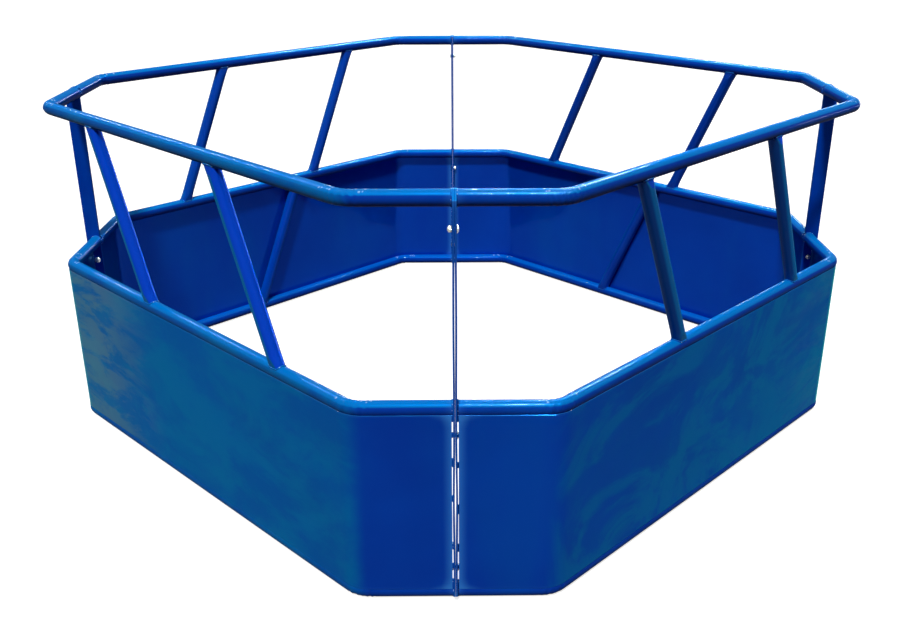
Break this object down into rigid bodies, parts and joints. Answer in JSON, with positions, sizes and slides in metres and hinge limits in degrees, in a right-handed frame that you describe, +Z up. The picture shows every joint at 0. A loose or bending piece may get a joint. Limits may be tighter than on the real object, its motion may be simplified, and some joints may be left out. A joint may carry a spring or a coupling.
{
  "type": "skirted bale feeder",
  "caption": "Octagonal skirted bale feeder of round steel tube: bolted sections, leaning head bars over a sheet skirt, open top and bottom.",
  "frame": {"origin": "on the ground in the middle of the feeder", "axes": "+Z up; the short sides with the bolted seams face -X, -Y, +X and +Y, and -Y is the front in the picture"},
  "size_m": [2.5052, 2.5052, 1.0531],
  "materials": {
    "rail_paint": "glossy blue powder coat on round tube",
    "bar_paint": "glossy blue powder coat on round tube",
    "plate_paint": "glossy blue powder coat on flat bar",
    "skirt_paint": "glossy blue powder coat on thin sheet",
    "bolt_zinc": "bright zinc plate",
    "nut_zinc": "bright zinc plate"
  },
  "bodies": {
    "root": {"front_left_top_rail": "rail_paint", "front_left_mid_rail": "rail_paint", "front_left_bottom_rail": "rail_paint", "front_left_skirt": "skirt_paint", "front_left_start_plate": "plate_paint", "front_left_end_plate": "plate_paint", "front_left_bar_1": "bar_paint", "front_left_bar_2": "bar_paint", "front_left_brace": "bar_paint", "front_right_top_rail": "rail_paint", "front_right_mid_rail": "rail_paint", "front_right_bottom_rail": "rail_paint", "front_right_skirt": "skirt_paint", "front_right_start_plate": "plate_paint", "front_right_end_plate": "plate_paint", "front_right_bar_1": "bar_paint", "front_right_bar_2": "bar_paint", "front_right_brace": "bar_paint", "back_right_top_rail": "rail_paint", "back_right_mid_rail": "rail_paint", "back_right_bottom_rail": "rail_paint", "back_right_skirt": "skirt_paint", "back_right_start_plate": "plate_paint", "back_right_end_plate": "plate_paint", "back_right_bar_1": "bar_paint", "back_right_bar_2": "bar_paint", "back_right_brace": "bar_paint", "back_left_top_rail": "rail_paint", "back_left_mid_rail": "rail_paint", "back_left_bottom_rail": "rail_paint", "back_left_skirt": "skirt_paint", "back_left_start_plate": "plate_paint", "back_left_end_plate": "plate_paint", "back_left_bar_1": "bar_paint", "back_left_bar_2": "bar_paint", "back_left_brace": "bar_paint", "seam_left_bolt_upper": "bolt_zinc", "seam_left_bolt_middle": "bolt_zinc", "seam_left_bolt_lower": "bolt_zinc", "seam_left_nut_upper": "nut_zinc", "seam_left_nut_middle": "nut_zinc", "seam_left_nut_lower": "nut_zinc", "seam_front_bolt_upper": "bolt_zinc", "seam_front_bolt_middle": "bolt_zinc", "seam_front_bolt_lower": "bolt_zinc", "seam_front_nut_upper": "nut_zinc", "seam_front_nut_middle": "nut_zinc", "seam_front_nut_lower": "nut_zinc", "seam_right_bolt_upper": "bolt_zinc", "seam_right_bolt_middle": "bolt_zinc", "seam_right_bolt_lower": "bolt_zinc", "seam_right_nut_upper": "nut_zinc", "seam_right_nut_middle": "nut_zinc", "seam_right_nut_lower": "nut_zinc", "seam_back_bolt_upper": "bolt_zinc", "seam_back_bolt_middle": "bolt_zinc", "seam_back_bolt_lower": "bolt_zinc", "seam_back_nut_upper": "nut_zinc", "seam_back_nut_middle": "nut_zinc", "seam_back_nut_lower": "nut_zinc"}
  },
  "joints": []
}
